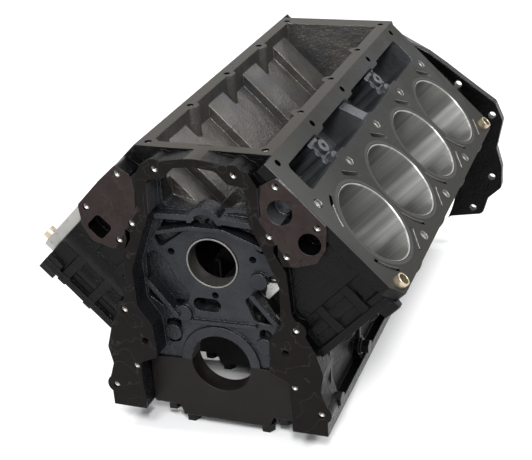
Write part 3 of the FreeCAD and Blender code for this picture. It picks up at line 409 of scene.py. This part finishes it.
def skin(node, finishes, choose, round_by):
    """The node's own shape with its edges rounded, its flats cleaned and its finishes zoned."""
    bm = bmesh.new()
    bm.from_mesh(frame["nodes"][node].data)
    bmesh.ops.remove_doubles(bm, verts=bm.verts, dist=JOIN)
    bmesh.ops.dissolve_limit(bm, angle_limit=math.radians(0.6), verts=bm.verts, edges=bm.edges,
                             use_dissolve_boundaries=False)
    bmesh.ops.triangulate(bm, faces=[f for f in bm.faces if len(f.verts) > 4])
    bm.normal_update()
    order = {finish.name: k for k, finish in enumerate(finishes)}
    lies = bm.faces.layers.float_vector.new("lies")
    level, sharp, crease = (math.radians(angle) for angle in (0.8, 28, 38))
    for face in bm.faces:
        face.material_index = order[choose(face.calc_center_median(), face.normal).name]
        turns = [e.calc_face_angle() for e in face.edges if e.is_manifold]
        if not any(level < turn <= sharp for turn in turns):
            face[lies] = face.normal
    edges = [e for e in bm.edges if e.is_manifold and e.calc_face_angle() > sharp]
    edges = [e for e in edges if e.calc_length() > round_by]
    casting = BVHTree.FromBMesh(bm)
    bmesh.ops.bevel(bm, geom=edges, offset=round_by, offset_type="OFFSET", segments=2,
                    profile=0.5, affect="EDGES", clamp_overlap=False, material=-1)
    reach = frame["nodes"][node].bound_box
    for corner in bm.verts:
        place, normal, face, gap = casting.find_nearest(corner.co)
        if gap > round_by:
            corner.co = place
        corner.co = [min(max(c, a), b) for c, a, b in zip(corner.co, reach[0], reach[6])]
    bm.normal_update()
    flats = [face.normal.dot(face[lies]) > STILL_FLAT for face in bm.faces]
    bm.faces.layers.float_vector.remove(lies)
    mesh = bpy.data.meshes.new(node + "_skin")
    bm.to_mesh(mesh)
    bm.free()
    mesh.set_sharp_from_angle(angle=crease)
    for face, flat in zip(mesh.polygons, flats):
        face.use_smooth = not flat
        for loop in face.loop_indices if flat else ():
            mesh.edges[mesh.loops[loop].edge_index].use_edge_sharp = True
    piece = bpy.data.objects.new(node + "_skin", mesh)
    bpy.context.scene.collection.objects.link(piece)
    for finish in finishes:
        mesh.materials.append(finish)
    even = piece.modifiers.new("even_shading", "WEIGHTED_NORMAL")
    even.keep_sharp = True
    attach(piece, "root")
    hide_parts(node)


skin("block_casting", BLOCK_FINISHES, block_finish, 0.0007)

SMALL_FINISHES = (
    ("main_cap_inner", BOLT, "steel_bolt", 0.0004),
    ("main_cap_outer", BOLT, "steel_bolt", 0.0004),
    ("main_cap_side", BOLT, "steel_bolt", 0.0004),
    ("main_cap", CAP, "iron_cap", 0.0012),
    ("cam_bearing", CAM_LINING, "bearing_metal", 0.0003),
    ("head_dowel", DOWEL, "dowel_steel", 0.0004),
    ("bell_dowel", DOWEL, "dowel_steel", 0.0004),
    ("core_plug", BRASS, "plug_brass", 0.0004),
    ("drain_plug", PLUG, "plug_steel", 0.0003),
    ("oil_gallery_plug", PLUG, "plug_steel", 0.0003),
)

for name in sorted(frame["nodes"]):
    for start, finish, slot, round_by in SMALL_FINISHES:
        if name.startswith(start):
            skin(name, [finish], lambda c, n, finish=finish: finish, round_by)
            break


# Bolt patterns that the camera never sees, so their holes get no turns.
UNSEEN_PATTERNS = ("bell_bolts", "engine_mount", "rear_cover_bolts", "cam_retainer")


def threaded_holes():
    """Mouth, outward axis and radius of each tapped hole that gets a thread."""
    holes = []
    for mount in frame["record"]["mounts"]:
        if mount["kind"] != "bolt_pattern" or mount["name"].startswith(UNSEEN_PATTERNS):
            continue
        sizes = mount["dims"]
        rows = [sizes.get("spacing_y_mm", 0.0) * k for k in (-0.0005, 0.0005)]
        rows = rows if "spacing_y_mm" in sizes else [0.0]
        columns = [sizes["spacing_x_mm"] * k for k in (-0.0005, 0.0005)]
        axis = Vector(mount["axis"])
        middle = Vector(mount["pos_m"])
        holes += [(middle + Vector((a, b, 0)), axis, sizes["hole_r_mm"] / 1000)
                  for a in columns for b in rows]
    for side in (1, -1):
        for along in HEAD_BOLT_PLACES:
            for across in HEAD_BOLT_ROWS:
                mouth = Vector((side * (DECK_HEIGHT + across) * BANK, along - side * STAGGER,
                                (DECK_HEIGHT - across) * BANK))
                holes.append((mouth, Vector((side * BANK, 0, BANK)), HEAD_BOLT_RADIUS))
    return holes


def thread_turns(turns=6, steps=18, lead=0.3, depth=0.16, root=1.015, start=-0.55):
    """A thread for a hole of radius 1 that starts below the mouth at z = 0."""
    verts, faces = [], []
    for k in range(turns * steps + 1):
        turn = 2 * math.pi * k / steps
        z = start - lead * k / steps
        for radius, drop in ((root, 0.0), (1 - depth, -0.5 * lead), (root, -lead)):
            verts.append((radius * math.cos(turn), radius * math.sin(turn), z + drop))
        if k:
            a, b = 3 * (k - 1), 3 * k
            faces += [(a, b, b + 1, a + 1), (a + 1, b + 1, b + 2, a + 2)]
    mesh = bpy.data.meshes.new("thread_turns")
    mesh.from_pydata(verts, [], faces)
    return bpy.data.objects.new("thread_turns", mesh)


def copies_tree(name, part, finish):
    """Sets a copy of the part on each point, turned to its axis and grown to its size."""
    tree = bpy.data.node_groups.new(name, "GeometryNodeTree")
    face = tree.interface
    face.new_socket("Points", in_out="INPUT", socket_type="NodeSocketGeometry")
    grow = face.new_socket("Grow", in_out="INPUT", socket_type="NodeSocketFloat")
    grow.default_value = 1.0
    face.new_socket("Copies", in_out="OUTPUT", socket_type="NodeSocketGeometry")

    def add(kind, **settings):
        made = tree.nodes.new(kind)
        for key, value in settings.items():
            setattr(made, key, value)
        return made

    start, end = add("NodeGroupInput"), add("NodeGroupOutput")
    axis = add("GeometryNodeInputNamedAttribute", data_type="FLOAT_VECTOR")
    axis.inputs["Name"].default_value = "axis"
    size = add("GeometryNodeInputNamedAttribute", data_type="FLOAT")
    size.inputs["Name"].default_value = "size"
    scale = add("ShaderNodeMath", operation="MULTIPLY")
    aim = add("FunctionNodeAlignRotationToVector", axis="Z")
    shape = add("GeometryNodeObjectInfo")
    shape.inputs["Object"].default_value = part
    copy = add("GeometryNodeInstanceOnPoints")
    real = add("GeometryNodeRealizeInstances")
    coat = add("GeometryNodeSetMaterial")
    coat.inputs["Material"].default_value = finish
    for a, b in ((start.outputs["Points"], copy.inputs["Points"]),
                 (shape.outputs["Geometry"], copy.inputs["Instance"]),
                 (axis.outputs["Attribute"], aim.inputs["Vector"]),
                 (aim.outputs["Rotation"], copy.inputs["Rotation"]),
                 (size.outputs["Attribute"], scale.inputs[0]),
                 (start.outputs["Grow"], scale.inputs[1]),
                 (scale.outputs[0], copy.inputs["Scale"]),
                 (copy.outputs["Instances"], real.inputs["Geometry"]),
                 (real.outputs["Geometry"], coat.inputs["Geometry"]),
                 (coat.outputs["Geometry"], end.inputs["Copies"])):
        tree.links.new(a, b)
    return tree, grow.identifier


def tapped_threads():
    """One piece with the turns of every hole."""
    holes = threaded_holes()
    mesh = bpy.data.meshes.new("hole_mouths")
    mesh.from_pydata([tuple(place) for place, axis, size in holes], [], [])
    mesh.attributes.new("axis", "FLOAT_VECTOR", "POINT")
    mesh.attributes.new("size", "FLOAT", "POINT")
    for k, (place, axis, size) in enumerate(holes):
        mesh.attributes["axis"].data[k].vector = axis
        mesh.attributes["size"].data[k].value = size
    marks = bpy.data.objects.new("hole_mouths", mesh)
    bpy.context.scene.collection.objects.link(marks)
    thread = thread_turns()
    tree, grow = copies_tree("thread_copies", thread, THREAD)
    maker = marks.modifiers.new("threads", "NODES")
    maker.node_group = tree
    maker[grow] = 1.0
    bpy.context.view_layer.update()
    ready = marks.evaluated_get(bpy.context.evaluated_depsgraph_get())
    shape = bpy.data.meshes.new_from_object(ready)
    bpy.data.objects.remove(marks)
    bpy.data.objects.remove(thread)
    piece = bpy.data.objects.new("tapped_threads", shape)
    bpy.context.scene.collection.objects.link(piece)
    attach(piece, "root")


tapped_threads()


def floor():
    """A floor under the lowest bolt heads: white to the camera and in reflections, dark as light.

    Away from the block it glows at the strength of white, and near it the shadow shows.
    """
    low = cad_box[0][2]
    mesh = bpy.data.meshes.new("studio_floor")
    mesh.from_pydata([(-6, -6, low), (6, -6, low), (6, 6, low), (-6, 6, low)], [], [(0, 1, 2, 3)])
    made = bpy.data.objects.new("studio_floor", mesh)
    bpy.context.scene.collection.objects.link(made)
    p = Paint("pale_floor")
    seen = p.node("ShaderNodeLightPath", out="Is Camera Ray")
    for ray in ("Is Glossy Ray", "Is Transmission Ray"):
        seen = p.maths("MAXIMUM", seen, p.node("ShaderNodeLightPath", out=ray))
    clear = p.maths("MAXIMUM", p.step(abs(p.x), 0.1, 0.17), p.step(abs(p.y), 0.25, 0.31))
    glow = p.blend(seen * clear, (0.0, 0.0, 0.0), (1.0, 1.0, 1.0))
    lit = seen * (1 - clear * 0.7)
    p.feed(p.shader.inputs["Emission Color"], glow)
    p.shader.inputs["Emission Strength"].default_value = 0.9
    mesh.materials.append(p.finish(p.blend(lit, (0.05, 0.05, 0.055), (0.95, 0.95, 0.95)), 0.9))


def light(name, place, wide, power, tall):
    """An area lamp that looks at the block's middle."""
    lamp = bpy.data.lights.new(name, "AREA")
    lamp.energy = power
    lamp.shape = "RECTANGLE"
    lamp.size = wide
    lamp.size_y = tall
    made = bpy.data.objects.new(name, lamp)
    made.location = place
    made.rotation_euler = (Vector(CENTRE) - Vector(place)).to_track_quat("-Z", "Y").to_euler()
    bpy.context.scene.collection.objects.link(made)


def camera():
    """The photograph's view, as it was fitted to the bores, decks and front face."""
    yaw, pitch, roll = 0.381, 0.449, -0.075
    look = Vector((-math.sin(yaw) * math.cos(pitch), math.cos(yaw) * math.cos(pitch),
                   -math.sin(pitch)))
    right = Vector((math.cos(yaw), math.sin(yaw), 0.0))
    up = right.cross(look)
    right, up = (math.cos(roll) * right + math.sin(roll) * up,
                 math.cos(roll) * up - math.sin(roll) * right)
    pose = Matrix((right, up, -look)).transposed().to_4x4()
    pose.translation = Vector((0.4714, -1.2485, 0.698))
    lens = bpy.data.cameras.new("photo_view")
    lens.lens = 79.68
    lens.sensor_width = 36.0
    made = bpy.data.objects.new("photo_view", lens)
    bpy.context.scene.collection.objects.link(made)
    made.matrix_world = pose
    bpy.context.scene.camera = made


def backdrop():
    """White behind the block and in its reflections, and a plain grey as light."""
    world = bpy.data.worlds.new("studio")
    world.use_nodes = True
    tree = world.node_tree
    sky = tree.nodes["Background"]
    seen = tree.nodes.new("ShaderNodeLightPath")
    mix = tree.nodes.new("ShaderNodeMix")
    mix.data_type = "RGBA"
    shown = seen.outputs["Is Camera Ray"]
    for ray in ("Is Glossy Ray", "Is Transmission Ray"):
        either = tree.nodes.new("ShaderNodeMath")
        either.operation = "MAXIMUM"
        tree.links.new(shown, either.inputs[0])
        tree.links.new(seen.outputs[ray], either.inputs[1])
        shown = either.outputs[0]
    tree.links.new(shown, mix.inputs[0])
    mix.inputs[6].default_value = (0.2, 0.21, 0.23, 1.0)
    mix.inputs[7].default_value = (1.0, 1.0, 1.0, 1.0)
    tree.links.new(mix.outputs[2], sky.inputs["Color"])
    sky.inputs["Strength"].default_value = 1.0
    bpy.context.scene.world = world


CENTRE = (0.0, 0.0, 0.15)


def toward(bearing, rise, reach):
    """A place that far from the block, at a bearing from +Y towards +X and a rise above level."""
    turn, lift = math.radians(bearing), math.radians(rise)
    flat = reach * math.cos(lift)
    return (flat * math.sin(turn), flat * math.cos(turn), CENTRE[2] + reach * math.sin(lift))


# name, bearing, rise, reach, width, power, height
LIGHTS = (
    ("window_light", 158, 40, 2.1, 0.34, 30.0, 0.5),
    ("lamp_left", -165, 20, 2.0, 0.09, 5.0, 0.5),
    ("overhead_strip", -62, 57, 1.9, 0.16, 16.0, 1.3),
    ("left_strip", -112, 60, 1.9, 0.08, 9.0, 1.0),
    ("back_softbox", 26, 30, 2.3, 0.8, 1.5, 0.4),
    ("right_softbox", 84, 42, 2.0, 0.3, 22.0, 0.4),
    ("front_softbox", -172, 52, 1.9, 0.5, 12.0, 0.5),
)

floor()
camera()
backdrop()
for name, bearing, rise, reach, wide, power, tall in LIGHTS:
    light(name, toward(bearing, rise, reach), wide, power, tall)

bpy.context.scene.view_settings.view_transform = "Standard"
